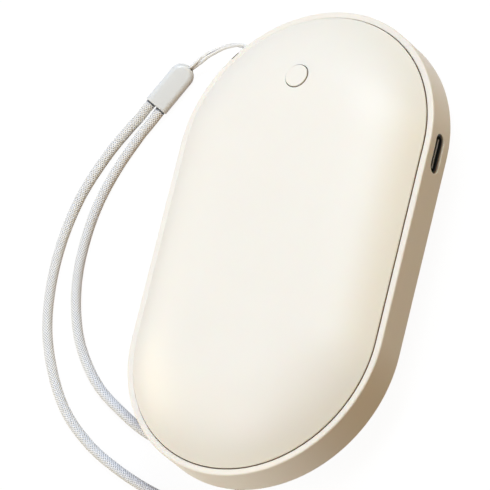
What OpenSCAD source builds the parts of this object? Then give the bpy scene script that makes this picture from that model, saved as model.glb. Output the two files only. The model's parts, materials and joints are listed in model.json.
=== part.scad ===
// Rechargeable hand warmer with a wrist strap, lying on its back cover.
// The origin is the middle of the back face. +Y runs towards the button end and +Z out of the front.

/* [Body] */
// Overall length
body_l = 109; // [105:0.5:115]
// Overall width
body_w = 63; // [61:0.5:66]
// Overall thickness, from one flat face to the other
body_t = 26; // [25:0.25:28]
// Width of the flat area on each face
flat_w = 21; // [19:0.5:24]

/* [Frame] */
// Height of the frame's outer wall
frame_h = 8; // [7.6:0.1:8.6]
// Width of the rim that shows round each cover
rim_w = 1.5; // [1.3:0.05:1.7]
// Radius of the rim's outer edges
edge_r = 0.4; // [0.2:0.05:0.5]
// How far the inner ledge reaches in from the rim
ledge_d = 4; // [3.8:0.05:4.2]
// Height of the inner ledge
ledge_h = 5; // [4.7:0.1:5.4]

/* [Covers] */
// Wall thickness of the covers
cover_wall = 1.6; // [1.4:0.05:1.8]
// Gap between a cover and the rim
cover_gap = 0.15; // [0.08:0.01:0.2]
// How far a cover's edge stands proud of the rim
cover_step = 0.35; // [0.2:0.05:0.5]
// Thickness of the seals under the covers
seal_t = 0.3; // [0.2:0.05:0.4]

/* [Button] */
// Diameter of the button
button_d = 5.2; // [5.2:0.1:6.4]
// Gap round the button
button_gap = 0.2; // [0.1:0.01:0.25]
// How far the button stands proud of the cover
button_proud = 0.25; // [0.15:0.05:0.4]
// How far the button travels
button_travel = 0.3; // [0.2:0.05:0.4]
// Distance from the top end to the button's centre
button_from_end = 19.5; // [18.5:0.25:21]

/* [Charging port] */
// Length of the port's opening
port_w = 9.1; // [9.05:0.05:9.4]
// Height of the port's opening
port_h = 3.3; // [3.25:0.05:3.6]
// Distance from the top end to the port's centre
port_from_end = 31.9; // [31:0.1:34]
// How far the socket lies back from the wall
port_recess = 0.6; // [0.4:0.05:0.8]

/* [Strap anchor] */
// Angle of the anchor round the top end, from +X
anchor_angle = 135.5; // [130:0.5:140]
// Diameter of the anchor pin
pin_d = 1.8; // [1.6:0.05:1.9]
// Distance from the wall's face to the pin's axis
pin_inset = 2.5; // [2.45:0.05:2.6]
// Width of the anchor's pocket
pocket_w = 5; // [4.8:0.1:5.6]
// Height of the anchor's pocket
pocket_h = 3; // [2.6:0.1:3.2]

/* [Strap] */
// Diameter of the anchor string
string_d = 0.7; // [0.6:0.01:0.7]
// Diameter of the braided cord
cord_d = 2.3; // [2.1:0.05:2.35]
// Length of the strap's connector
connector_l = 11.5; // [11:0.1:13]
// Width of the strap's connector
connector_w = 5.5; // [5.5:0.1:6.2]
// Thickness of the strap's connector
connector_t = 3.3; // [3.3:0.1:3.8]

/* [Battery and tray] */
// Thickness of the battery cell
cell_t = 10; // [9.5:0.1:10.4]
// Thickness of the battery tray's floor
floor_t = 1; // [0.8:0.05:1.2]
// Thickness of the battery tray's walls
tray_wall = 1.2; // [1:0.05:1.4]
// Thickness of the tape that holds the cell
tape_t = 0.2; // [0.15:0.05:0.3]

/* [Heaters] */
// Thickness of the heat-spreading plates
plate_t = 0.6; // [0.5:0.05:0.8]
// Thickness of the heater films
film_t = 0.3; // [0.2:0.05:0.4]
// Width of the insulating foam
foam_w = 16; // [12:1:18]

/* [Circuit board] */
// Thickness of the circuit board
board_t = 1.2; // [1:0.1:1.4]
// Width of the charging socket's shell
socket_w = 8.94; // [8.9:0.01:8.96]
// Height of the charging socket's shell
socket_h = 3.16; // [3.1:0.01:3.18]
// Length of the charging socket's shell
socket_l = 7.35; // [7:0.05:7.6]
// Wall thickness of the charging socket's shell
socket_wall = 0.3; // [0.25:0.01:0.32]

/* [Hidden] */
$fn = 72;

// How far a cut runs past what it cuts
overrun = 1;
// Gap round a piece that lies loose in its place
loose_gap = 0.3;
// Gap round a piece that slides or is pushed in
slide_gap = 0.1;
// Gap round a screw's thread in its pilot hole
thread_gap = 0.02;

// Outline of the body, seen from the front: a straight middle and two half-round ends
body_r = body_w / 2;
straight = (body_l - body_w) / 2;
mid_z = body_t / 2;
seam_r = body_r - rim_w;
ledge_r = seam_r - ledge_d;

// Section of the cover
cover_r = seam_r - cover_gap;
skirt_r = cover_r - cover_wall;
flat_r = flat_w / 2;
ledge_top = mid_z + ledge_h / 2;
skirt_z = ledge_top + seal_t;
dome_z = mid_z + frame_h / 2 + cover_step;
dome_rise = body_t - dome_z;
dome_run = cover_r - flat_r;
shoulder_r = (dome_run * dome_run + dome_rise * dome_rise) / (2 * dome_rise);
inner_r = shoulder_r - cover_wall;

// Height of the front cover's inner face at a distance from the straight's middle line
function inside_z(s) = body_t - cover_wall - inner_r
    + sqrt(inner_r * inner_r - pow(max(s - flat_r, 0), 2));
// Distance at which the front cover's inner face comes down to a height
function inside_s(z) = flat_r
    + sqrt(inner_r * inner_r - pow(inner_r - (body_t - cover_wall - z), 2));

// Charging port and its socket
port_y = body_l / 2 - port_from_end;
tab_w = socket_w + 2 * slide_gap;
port_room_w = tab_w + 2 * loose_gap;
socket_x = body_r - port_recess;
socket_back = 0.5;
tongue_w = 6.7;
tongue_h = 0.7;
tongue_l = 5.6;
tongue_base = 1.2;
contact_pitch = 0.5;
contact_w = 0.25;
contact_l = 3.4;
contact_t = 0.05;
contacts_a_side = 12;

// Hooks that hold the covers to the ledge, and the tray's lugs, in one row of places along each
// side, counted from 0 at the low end
clip_places = 6;
clip_gap = 1.5;
clip_end_gap = 1.4;
clip_port_gap = 1.8;
clip_low = clip_end_gap - straight;
clip_high = port_y - port_room_w / 2 - clip_port_gap;
clip_l = (clip_high - clip_low - (clip_places - 1) * clip_gap) / clip_places;
lug_places = [0, 5];
back_hook_places = [1, 3];
front_hook_places = [2, 4];
function clip_y(place) = clip_low + clip_l / 2 + place * (clip_l + clip_gap);
hook_t = 1;
hook_lip = 0.5;
hook_lip_h = 0.7;
hook_root = 0.4;
hook_outer = ledge_r - loose_gap;
hook_inner = hook_outer - hook_t;

// Circuit board
board_top = mid_z - socket_h / 2;
board_low = board_top - board_t;
board_r = ledge_r - 2 * loose_gap;
board_edge = port_y - port_room_w / 2;
board_l = straight + board_r - board_edge;
tab_x = skirt_r - loose_gap;

// Battery tray
floor_low = mid_z - cell_t / 2 - tape_t - floor_t;
floor_top = floor_low + floor_t;
tray_r = inside_s(body_t - floor_low + loose_gap);
tray_half_w = min(hook_inner - loose_gap - slide_gap, tray_r);
divider_y = board_edge - loose_gap - tray_wall;
divider_rise = 1.2;
divider_top = mid_z + divider_rise;
lug_h = 2;

// Battery cell and the board on its end
cell_half_w = tray_half_w - tray_wall - loose_gap;
cell_corner_r = tray_r - tray_wall - loose_gap;
cell_board_l = 3.5;
cell_board_w = 34;
cell_board_t = 0.8;
cell_low = -straight - sqrt(cell_corner_r * cell_corner_r - cell_half_w * cell_half_w);
cell_high = divider_y - loose_gap - cell_board_l;
cell_l = cell_high - cell_low;
cell_edge_r = 1.5;
tray_wall_top = mid_z + cell_t / 2 - tray_wall;

// Screws
screw_d = 1;
screw_head_d = 1.8;
screw_head_h = 0.6;
screw_l = 3.6;
screw_inset = 1;
board_screw_l = 2.6;
post_d = 3.4;
lug_screw_x = ledge_r + screw_inset;
lug_end_x = lug_screw_x + screw_head_d / 2;
board_post_shares = [[-0.68, 0.21], [0.52, 0.18], [-0.48, 0.82]];

// Button and switch
button_y = body_l / 2 - button_from_end;
guide_wall = 1.2;
guide_r = button_d / 2 + button_gap + guide_wall;
guide_z = inside_z(button_y - straight + guide_r) - loose_gap;
flange_r = guide_r - slide_gap;
flange_top = guide_z - slide_gap;
flange_h = 0.8;
stem_d = 3;
stem_l = 1.6;
switch_w = 6.2;
switch_h = 3.6;
plunger_d = 3.5;
plunger_top = flange_top - flange_h - stem_l;
plunger_depth = 2;
plunger_room = plunger_depth + 2 * button_travel;

// Heat plates, heater films and foam
plate_r = flat_r - 2 * loose_gap;
plate_low = -straight - plate_r;
plate_guide_gap = 1;
plate_high = button_y - guide_r - plate_guide_gap;
film_r = plate_r - loose_gap;
foam_end_gap = 2;
thermistor = [1.6, 0.8, 0.5];
thermistor_cell_gap = 6;
thermistor_y = cell_high + thermistor_cell_gap;

// Small parts on the board. Each one's middle is given in shares of the board's half width there,
// and of its length from the edge by the battery
chip = [5, 5, 0.9];
chip_shares = [0.38, 0.46];
inductor = [6.6, 6.6, 3];
inductor_shares = [-0.45, 0.4];
capacitor = [3.2, 1.6, 1.6];
capacitor_shares = [[0.69, 0.41], [0.72, 0.51], [0.43, 0.64], [0.48, 0.72], [-0.16, 0.84]];
led = [1.6, 0.8, 0.7];
led_gap = 1.2;
led_x = switch_w / 2 + led_gap + led[0] / 2;
plug = [6, 3, 4.6];
plug_socket_wall = 0.7;
plug_socket_h = 3.4;
plug_lift = 0.5;
battery_plug_shares = [-0.2, 0.1];
heater_socket = [5.4, 3.4, 3];
heater_socket_shares = [-0.78, 0.51];

// Leads
lead_d = 0.9;
lead_pitch = 2;
lead_drop = 1.5;
lead_sides = 8;
lead_rings = 13;

// Strap anchor in the frame's wall
pin_s = body_r - pin_inset;
pin_seat = 0.7;
pocket_back = 1.1;
notch_w = 2;
notch_d = 0.42;
notch_turn = 2.3;

// Connector, leaning over on one of its long edges: its open end's middle, the way it points and
// how far it leans
connector_at = [-50.56, 38.54];
connector_turn = 58.4;
connector_roll = 35;
connector_edge_r = 1.25;
connector_lift = connector_edge_r + (connector_w / 2 - connector_edge_r) * sin(connector_roll)
    + (connector_t / 2 - connector_edge_r) * cos(connector_roll);
connector_tip = connector_l - connector_w / 2;
cord_pitch = 2.6;
cord_bore_d = cord_d + slide_gap;
cord_bore_l = 4;
string_turn = 42;
string_pitch = 0.8;
string_bore_d = string_pitch + string_d + slide_gap;
string_bore_start = 0.6;

// The braided cord's route, from inside the connector round the loop and back into it
wrist_route = [
    [-49.42, 42.42, 3.18], [-51.47, 39.1, 3.18], [-52.6, 37.6, 3], [-54.4, 35.8, 2.2],
    [-57, 33.3, 1.4], [-61, 27, 1.2],
    [-65, 17.5, 1.2], [-67, 7, 1.2], [-67, -4, 1.2], [-65, -15, 1.2],
    [-60.5, -25.5, 1.2], [-54.5, -34.5, 1.2], [-46.5, -41.9, 1.2], [-38, -47.3, 1.2],
    [-29.3, -51.6, 1.2], [-20.5, -54.9, 1.2], [-13, -56.4, 1.2], [-7, -54.8, 1.2],
    [-5.4, -50.8, 1.2], [-8.8, -47.2, 1.2], [-16.2, -44.9, 1.2], [-24, -42, 1.2],
    [-32.5, -38.8, 1.2], [-40.2, -34.1, 1.2], [-47.8, -28.2, 1.2], [-54, -20.5, 1.2],
    [-58, -12.5, 1.2], [-60.5, -3, 1.2], [-61, 6.5, 1.2], [-60, 15.5, 1.2],
    [-57.4, 24, 1.2], [-54, 31.3, 1.2], [-52.3, 34.1, 1.3], [-50.8, 36.1, 1.6],
    [-49.65, 37.98, 1.69], [-47.61, 41.3, 1.69]
];
wrist_rings = 52;

// The anchor string's route, from inside the connector round the pin and back
string_route = [
    [-45.46, 46.46, 2.04], [-43.75, 48, 2.04], [-41.6, 49.3, 2.5], [-38.9, 50, 4.1],
    [-36.3, 50.4, 5.4], [-33.5, 50.6, 6.9], [-30.5, 50.3, 8.6], [-27.2, 49.7, 10.5],
    [-25, 49, 11.6], [-23.2, 47.7, 12.5], [-21.5, 46.1, 13], [-19.7, 44.3, 13],
    [-19.3, 43.3, 13], [-19.7, 42.3, 13], [-20.7, 41.9, 13], [-21.7, 42.3, 13],
    [-23.4, 44.1, 13], [-24.3, 45.8, 12.7], [-25.4, 47.8, 11.5], [-27, 49.5, 9.8],
    [-30.2, 51, 7.9], [-33.2, 51.6, 6.3], [-36.1, 51.5, 4.9], [-38.7, 51.2, 3.9],
    [-41, 50.3, 3.4], [-43.75, 48, 2.84], [-45.46, 46.46, 2.84]
];
string_rings = 33;
cord_sides = 8;

// Colours
cream = "#f4f0ea";
rim_cream = "#efe6d6";
strap_white = "#e9e9e8";
board_green = "#1f5b3a";
steel = "#c3c6c9";
black_plastic = "#202123";
copper = "#b87333";
foam_grey = "#5a5d60";

// A profile drawn as distance from the middle line and height, taken round the body's outline
module around() {
    for (end = [0, 180])
        rotate([0, 0, end])
            translate([0, straight, 0])
                rotate_extrude(angle = 180)
                    children();
    for (side = [0, 1])
        mirror([side, 0, 0])
            rotate([90, 0, 0])
                linear_extrude(2 * straight, center = true)
                    children();
}

// The same thing turned over, from the front to the back
module turned_over() {
    translate([0, 0, body_t])
        mirror([0, 0, 1])
            children();
}

// Something at a distance from the top end's centre, at an angle round it
module at_top_end(angle, distance) {
    translate([0, straight, 0])
        rotate([0, 0, angle])
            translate([distance, 0, 0])
                children();
}

// A flat slot shape with full round ends, centred
module slot_shape(width, height) {
    square([width - height, height], center = true);
    for (side = [-1, 1])
        translate([side * (width - height) / 2, 0])
            circle(d = height);
}

// Half of a section under a flat top and a round shoulder
module dome_section(outer_s, low_z, top_z, arc_r) {
    translate([0, low_z])
        square([flat_r, top_z - low_z]);
    intersection() {
        translate([flat_r, top_z - arc_r])
            circle(arc_r);
        translate([flat_r, low_z])
            square([outer_s - flat_r, top_z - low_z]);
    }
}

// One hook, standing on the inside of the front cover at the +X side
module cover_hook() {
    low = mid_z - ledge_h / 2 - slide_gap - hook_lip_h;
    top = inside_z(hook_inner) + hook_root;
    translate([hook_inner, -clip_l / 2, low])
        cube([hook_t, clip_l, top - low]);
    translate([hook_inner, -clip_l / 2, low])
        cube([hook_t + loose_gap + hook_lip, clip_l, hook_lip_h]);
}

// Things at some of the places along both sides
module at_clips(places) {
    for (side = [0, 1], place = places)
        mirror([side, 0, 0])
            translate([0, clip_y(place), 0])
                children();
}

// The domed cover without what is particular to the front or the back
module cover_shell() {
    around()
        difference() {
            dome_section(cover_r, skirt_z, body_t, shoulder_r);
            translate([0, -overrun])
                square([skirt_r, skirt_z + 2 * overrun]);
            dome_section(skirt_r, skirt_z, body_t - cover_wall, inner_r);
        }
}

module front_cover() {
    color(cream)
        difference() {
            union() {
                cover_shell();
                at_clips(front_hook_places)
                    cover_hook();
                translate([0, button_y, guide_z])
                    cylinder(r = guide_r, h = body_t - cover_wall / 2 - guide_z);
            }
            translate([0, button_y, guide_z - overrun])
                cylinder(d = button_d + 2 * button_gap, h = body_t);
        }
}

module back_cover() {
    color(cream)
        turned_over()
            union() {
                cover_shell();
                at_clips(back_hook_places)
                    cover_hook();
            }
}

// Section of the frame: the outer wall with rounded edges, and the ledge inside it
module frame_section() {
    low = mid_z - frame_h / 2;
    translate([seam_r, low])
        square([rim_w - edge_r, frame_h]);
    translate([seam_r, low + edge_r])
        square([rim_w, frame_h - 2 * edge_r]);
    for (z = [low + edge_r, low + frame_h - edge_r])
        translate([body_r - edge_r, z])
            circle(edge_r);
    translate([ledge_r, mid_z - ledge_h / 2])
        square([ledge_d + rim_w / 2, ledge_h]);
}

// The port's way through the wall, and the room for the socket and the board in the ledge
module port_cut() {
    room_top = mid_z + socket_h / 2 + loose_gap;
    translate([0, port_y, mid_z])
        rotate([90, 0, 90])
            linear_extrude(body_r + overrun)
                slot_shape(port_w, port_h);
    translate([board_r, port_y - port_room_w / 2, floor_top])
        cube([seam_r - board_r, port_room_w, room_top - floor_top]);
}

// The pocket in the wall that the string passes through, with the pin's hole and a threading notch
module anchor_cut() {
    pocket_s = ledge_r + pocket_back;
    at_top_end(anchor_angle, pocket_s)
        translate([0, -pocket_w / 2, mid_z - pocket_h / 2])
            cube([body_r - pocket_s + overrun, pocket_w, pocket_h]);
    at_top_end(anchor_angle, pin_s)
        translate([0, 0, mid_z - pocket_h / 2 - pin_seat])
            cylinder(d = pin_d, h = ledge_h);
    at_top_end(anchor_angle + notch_turn, body_r - notch_d)
        translate([0, -notch_w / 2, mid_z])
            cube([notch_d + overrun, notch_w, frame_h / 2 + overrun]);
}

// Where the tray's lugs lie in the ledge
module at_lugs() {
    at_clips(lug_places)
        translate([0, 0, ledge_top - lug_h])
            children();
}

module mid_frame() {
    color(rim_cream)
        difference() {
            around()
                frame_section();
            port_cut();
            anchor_cut();
            at_lugs()
                translate([hook_inner, -clip_l / 2 - slide_gap, 0])
                    cube([lug_end_x + slide_gap - hook_inner, clip_l + 2 * slide_gap, lug_h + overrun]);
            at_lugs()
                translate([lug_screw_x, 0, lug_h - screw_l])
                    cylinder(d = screw_d + 2 * thread_gap, h = screw_l);
        }
}

// The soft ring between the ledge and a cover's skirt
module seal_ring() {
    around()
        translate([skirt_r + slide_gap, ledge_top])
            square([cover_wall - 2 * slide_gap, seal_t]);
}

module front_seal() {
    color(black_plastic)
        seal_ring();
}

module back_seal() {
    color(black_plastic)
        turned_over()
            seal_ring();
}

// The button's top follows the cover; a flange under the guide keeps it in
module button_cap() {
    color(cream)
        union() {
            intersection() {
                translate([0, button_y, flange_top - flange_h])
                    cylinder(d = button_d, h = body_t);
                translate([0, 0, button_proud])
                    around()
                        dome_section(cover_r, mid_z, body_t, shoulder_r);
            }
            translate([0, button_y, flange_top - flange_h])
                cylinder(r = flange_r, h = flange_h);
            translate([0, button_y, plunger_top])
                cylinder(d = stem_d, h = flange_top - plunger_top);
        }
}

module switch_plunger() {
    low = board_top + switch_h - plunger_depth;
    color(black_plastic)
        translate([0, button_y, low])
            cylinder(d = plunger_d, h = plunger_top - low);
}

module switch_body() {
    color(steel)
        difference() {
            translate([-switch_w / 2, button_y - switch_w / 2, board_top])
                cube([switch_w, switch_w, switch_h]);
            translate([0, button_y, board_top + switch_h - plunger_room])
                cylinder(d = plunger_d + 2 * slide_gap, h = switch_h);
        }
}

// A place on the board from its shares
function board_place(shares) = let (y = board_edge + shares[1] * board_l)
    [shares[0] * sqrt(board_r * board_r - pow(y - straight, 2)), y];

module on_board(shares) {
    translate([board_place(shares)[0], board_place(shares)[1], board_top])
        children();
}

// A block standing on its middle
module block(size) {
    translate([-size[0] / 2, -size[1] / 2, 0])
        cube(size);
}

module board_outline() {
    intersection() {
        translate([0, straight])
            circle(board_r);
        translate([-body_r, board_edge])
            square([body_w, body_l]);
    }
    translate([0, port_y - tab_w / 2])
        square([tab_x, tab_w]);
}

module circuit_board() {
    color(board_green)
        difference() {
            translate([0, 0, board_low])
                linear_extrude(board_t)
                    board_outline();
            for (shares = board_post_shares)
                on_board(shares)
                    translate([0, 0, -board_t - overrun])
                        cylinder(d = screw_d + 2 * slide_gap, h = board_t + 2 * overrun);
        }
}

// Turned so that the extrusion runs from the socket's mouth into the body
module into_port(depth_at) {
    translate([socket_x - depth_at, port_y, mid_z])
        rotate([90, 0, -90])
            children();
}

module socket_shell() {
    inner_w = socket_w - 2 * socket_wall;
    inner_h = socket_h - 2 * socket_wall;
    color(steel)
        difference() {
            into_port(0)
                linear_extrude(socket_l)
                    slot_shape(socket_w, socket_h);
            into_port(-overrun)
                linear_extrude(socket_l + overrun - socket_back)
                    slot_shape(inner_w, inner_h);
        }
}

module socket_tongue() {
    inner_w = socket_w - 2 * socket_wall;
    inner_h = socket_h - 2 * socket_wall;
    root = socket_l - socket_back;
    color(black_plastic)
        union() {
            into_port(root - tongue_base)
                linear_extrude(tongue_base)
                    slot_shape(inner_w, inner_h);
            into_port(root - tongue_base - tongue_l)
                linear_extrude(tongue_l + tongue_base / 2)
                    square([tongue_w, tongue_h], center = true);
        }
}

module socket_contacts() {
    front = socket_l - socket_back - tongue_base - contact_l;
    color("gold")
        for (side = [-1, 1], i = [0 : contacts_a_side - 1])
            into_port(front)
                translate([(i - (contacts_a_side - 1) / 2) * contact_pitch, side * (tongue_h + contact_t) / 2, 0])
                    linear_extrude(contact_l)
                        square([contact_w, contact_t], center = true);
}

module charge_chip() {
    color(black_plastic)
        on_board(chip_shares)
            block(chip);
}

module power_inductor() {
    color(foam_grey)
        on_board(inductor_shares)
            block(inductor);
}

module board_capacitors() {
    color("tan")
        for (shares = capacitor_shares)
            on_board(shares)
                block(capacitor);
}

module status_leds() {
    color("white")
        for (side = [-1, 1])
            translate([side * led_x, button_y, board_top])
                block(led);
}

// A flat-headed screw pointing down, with the underside of its head at zero
module screw(length) {
    translate([0, 0, -length])
        cylinder(d = screw_d, h = length);
    cylinder(d = screw_head_d, h = screw_head_h);
}

module board_screws() {
    color(steel)
        for (shares = board_post_shares)
            on_board(shares)
                screw(board_screw_l);
}

module tray_screws() {
    color(steel)
        at_lugs()
            translate([lug_screw_x, 0, lug_h])
                screw(screw_l - slide_gap);
}

// Outline of the tray: straight sides beside the cell, and the body's round ends
module tray_outline(inset) {
    half_w = tray_half_w - inset;
    end_r = tray_r - inset;
    low = cell_low - loose_gap - tray_wall + inset;
    intersection() {
        translate([-half_w, low])
            square([2 * half_w, divider_y + tray_wall - inset - low]);
        union() {
            translate([-end_r, -straight])
                square([2 * end_r, 2 * straight]);
            for (side = [-1, 1])
                translate([0, side * straight])
                    circle(end_r);
        }
    }
}

module board_floor_outline() {
    intersection() {
        translate([0, straight])
            circle(tray_r);
        translate([-body_r, divider_y])
            square([body_w, body_l]);
    }
}

module battery_tray() {
    color(black_plastic)
        difference() {
            union() {
                translate([0, 0, floor_low])
                    linear_extrude(tray_wall_top - floor_low)
                        tray_outline(0);
                translate([0, 0, floor_low])
                    linear_extrude(floor_t)
                        board_floor_outline();
                for (shares = board_post_shares)
                    on_board(shares)
                        translate([0, 0, floor_top - floor_t / 2 - board_top])
                            cylinder(d = post_d, h = board_low - floor_top + floor_t / 2);
                at_lugs()
                    translate([tray_half_w - tray_wall / 2, -clip_l / 2, 0])
                        cube([lug_end_x - tray_half_w + tray_wall / 2, clip_l, lug_h]);
            }
            translate([0, 0, floor_top])
                linear_extrude(body_t)
                    tray_outline(tray_wall);
            translate([-body_r, divider_y - overrun, divider_top])
                cube([body_w, tray_wall + 2 * overrun, body_t]);
            for (shares = board_post_shares)
                on_board(shares)
                    translate([0, 0, -board_screw_l])
                        cylinder(d = screw_d + 2 * thread_gap, h = body_t);
            at_lugs()
                translate([lug_screw_x, 0, -overrun])
                    cylinder(d = screw_d + 2 * slide_gap, h = lug_h + 2 * overrun);
            translate([back_lead_x, back_lead_y, floor_low - overrun])
                block([lead_pitch + 2 * lead_d, 2 * lead_d, floor_t + 2 * overrun]);
        }
}

// A pouch cell with rounded long edges
module battery_cell() {
    color("silver")
        translate([0, cell_high, mid_z])
            rotate([90, 0, 0])
                linear_extrude(cell_l)
                    rounded_block(2 * cell_half_w, cell_t, cell_edge_r);
}

// A rectangle with round corners, centred
module rounded_block(width, height, radius) {
    square([width - 2 * radius, height], center = true);
    square([width, height - 2 * radius], center = true);
    for (x = [-1, 1], y = [-1, 1])
        translate([x * (width / 2 - radius), y * (height / 2 - radius)])
            circle(radius);
}

module battery_tape() {
    tape_w = 2 * (cell_half_w - cell_edge_r);
    color("white")
        translate([-tape_w / 2, cell_low, floor_top])
            cube([tape_w, cell_l, tape_t]);
}

module cell_board() {
    color(board_green)
        translate([-cell_board_w / 2, cell_high, mid_z - cell_board_t / 2])
            cube([cell_board_w, cell_board_l, cell_board_t]);
}

plug_x = board_place(battery_plug_shares)[0];
plug_y = board_place(battery_plug_shares)[1];
plug_top = board_top + plug_lift + plug[2];

module battery_socket() {
    color("ivory")
        on_board(battery_plug_shares)
            difference() {
                block([plug[0] + 2 * (plug_socket_wall + slide_gap),
                    plug[1] + 2 * (plug_socket_wall + slide_gap), plug_socket_h]);
                translate([0, 0, plug_lift])
                    block([plug[0] + 2 * slide_gap, plug[1] + 2 * slide_gap, plug_socket_h]);
            }
}

module battery_plug() {
    color("white")
        on_board(battery_plug_shares)
            translate([0, 0, plug_lift])
                block(plug);
}

// Points of a smooth curve through a route, with whole numbers at the route's own points
function between(a, b, c, d, t) = 0.5 * (2 * b + (c - a) * t
    + (2 * a - 5 * b + 4 * c - d) * t * t + (3 * b - a - 3 * c + d) * t * t * t);
function on_route(route, u) = let (last = len(route) - 1, i = min(floor(u), last - 1))
    between(route[max(i - 1, 0)], route[i], route[i + 1], route[min(i + 2, last)], u - i);
function ring_centres(route, rings) =
    [for (k = [0 : rings - 1]) on_route(route, k * (len(route) - 1) / (rings - 1))];
function unit(v) = v / norm(v);

// Length along a list of points
function length_of(points) = norm_sum([for (i = [1 : len(points) - 1]) norm(points[i] - points[i - 1])]);
function norm_sum(list, i = 0) = i == len(list) ? 0 : list[i] + norm_sum(list, i + 1);

// A tube along a route; up is a direction that the route never takes
module tube(route, diameter, rings, sides, up = [0, 0, 1]) {
    centres = ring_centres(route, rings);
    last = rings - 1;
    end = len(route) - 1;
    along = [
        unit(route[1] - route[0]),
        for (k = [1 : last - 1]) unit(centres[k + 1] - centres[k - 1]),
        unit(route[end] - route[end - 1])
    ];
    points = [
        for (k = [0 : last])
            let (across = unit(cross(along[k], up)), over = cross(across, along[k]))
                for (j = [0 : sides - 1])
                    centres[k] + diameter / 2 * (cos(360 * j / sides) * across + sin(360 * j / sides) * over)
    ];
    walls = [
        for (k = [0 : last - 1], j = [0 : sides - 1])
            let (a = k * sides + j, b = k * sides + (j + 1) % sides)
                each [[a, a + sides, b + sides], [a, b + sides, b]]
    ];
    first_cap = [[for (j = [0 : sides - 1]) j]];
    last_cap = [[for (j = [0 : sides - 1]) last * sides + sides - 1 - j]];
    polyhedron(points, concat(walls, first_cap, last_cap));
}

// Two leads side by side in X, each along the same route
module lead_pair(route, colours) {
    for (i = [0, 1])
        color(colours[i])
            translate([(i - 0.5) * lead_pitch, 0, 0])
                tube(route, lead_d, lead_rings, lead_sides, [1, 0, 0]);
}

module battery_leads() {
    start_y = cell_high + cell_board_l / 2;
    start_z = mid_z + cell_board_t / 2;
    crest = plug_top + 2 * lead_drop;
    lead_pair([
        [plug_x, start_y, start_z],
        [plug_x, start_y, start_z + lead_drop],
        [plug_x, (2 * start_y + plug_y) / 3, crest],
        [plug_x, (start_y + 2 * plug_y) / 3, crest],
        [plug_x, plug_y, plug_top + lead_drop],
        [plug_x, plug_y, plug_top]
    ], ["red", "black"]);
}

// A plate or film on the flat area: round ends, from the far end to near the button
module face_sheet(radius, low_y, high_y, low_z, thickness) {
    translate([0, 0, low_z])
        linear_extrude(thickness)
            translate([0, (low_y + high_y) / 2])
                rotate(90)
                    slot_shape(high_y - low_y, 2 * radius);
}

inner_face = body_t - cover_wall;
film_face = inner_face - plate_t - film_t;

module heat_plate() {
    color(steel)
        face_sheet(plate_r, plate_low, plate_high, inner_face - plate_t, plate_t);
}

module heater_film() {
    color(copper)
        face_sheet(film_r, plate_low + loose_gap, plate_high - loose_gap, film_face, film_t);
}

module foam_pad(far_z) {
    color(foam_grey)
        translate([-foam_w / 2, cell_low + foam_end_gap, far_z])
            cube([foam_w, cell_l - 2 * foam_end_gap, film_face - far_z]);
}

module thermistor_chip() {
    color(black_plastic)
        translate([0, thermistor_y, film_face - thermistor[2]])
            block(thermistor);
}

module front_plate() {
    heat_plate();
}

module front_heater() {
    heater_film();
}

module front_foam() {
    foam_pad(mid_z + cell_t / 2);
}

module front_thermistor() {
    thermistor_chip();
}

module back_plate() {
    turned_over()
        heat_plate();
}

module back_heater() {
    turned_over()
        heater_film();
}

module back_foam() {
    turned_over()
        foam_pad(body_t - floor_low);
}

module back_thermistor() {
    turned_over()
        thermistor_chip();
}

heater_socket_x = board_place(heater_socket_shares)[0];
heater_socket_y = board_place(heater_socket_shares)[1];
front_lead_x = -film_r / 2;

module front_heater_socket() {
    color("ivory")
        on_board(heater_socket_shares)
            block(heater_socket);
}

// From the front film's end across and down to its socket on the board
module front_heater_leads() {
    end_z = board_top + heater_socket[2];
    start_y = plate_high - plate_r;
    for (i = [0, 1])
        color("white")
            translate([0, (i - 0.5) * lead_pitch, 0])
                tube([
                    [front_lead_x, start_y, film_face],
                    [front_lead_x, start_y, film_face - lead_drop],
                    [(2 * front_lead_x + heater_socket_x) / 3, (2 * start_y + heater_socket_y) / 3,
                        film_face - 2 * lead_drop],
                    [(front_lead_x + 2 * heater_socket_x) / 3, (start_y + 2 * heater_socket_y) / 3,
                        (film_face + end_z) / 2],
                    [heater_socket_x, heater_socket_y, end_z + lead_drop],
                    [heater_socket_x, heater_socket_y, end_z]
                ], lead_d, lead_rings, lead_sides, [0, 1, 0]);
}

back_lead_x = film_r / 2;
back_lead_y = plate_high - plate_r;

// From the back film straight up through the tray's floor to the board's underside
module back_heater_leads() {
    low = body_t - film_face;
    lead_pair([
        [back_lead_x, back_lead_y, low],
        [back_lead_x, back_lead_y, (low + board_low) / 2],
        [back_lead_x, back_lead_y, board_low]
    ], ["white", "white"]);
}

module lanyard_pin() {
    low = mid_z - pocket_h / 2 - pin_seat;
    color(steel)
        at_top_end(anchor_angle, pin_s)
            translate([0, 0, low])
                cylinder(d = pin_d, h = ledge_top - slide_gap - low);
}

module lanyard_string() {
    color(strap_white)
        tube(string_route, string_d, string_rings, cord_sides);
}

// Half of the connector's section, from its middle out
module connector_half() {
    intersection() {
        rounded_block(connector_w, connector_t, connector_edge_r);
        translate([0, -connector_t / 2])
            square([connector_w, connector_t]);
    }
}

// The connector along X from its open end's middle, with the recess for the cord's ends
module connector_bar() {
    difference() {
        union() {
            for (side = [0, 1])
                mirror([0, side, 0])
                    rotate([90, 0, 90])
                        linear_extrude(connector_tip)
                            connector_half();
            translate([connector_tip, 0, 0])
                rotate([0, 0, -90])
                    rotate_extrude(angle = 180)
                        connector_half();
        }
        translate([-overrun, 0, 0])
            rotate([90, 0, 90])
                linear_extrude(cord_bore_l + overrun)
                    slot_shape(cord_pitch + cord_bore_d, cord_bore_d);
    }
}

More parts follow.
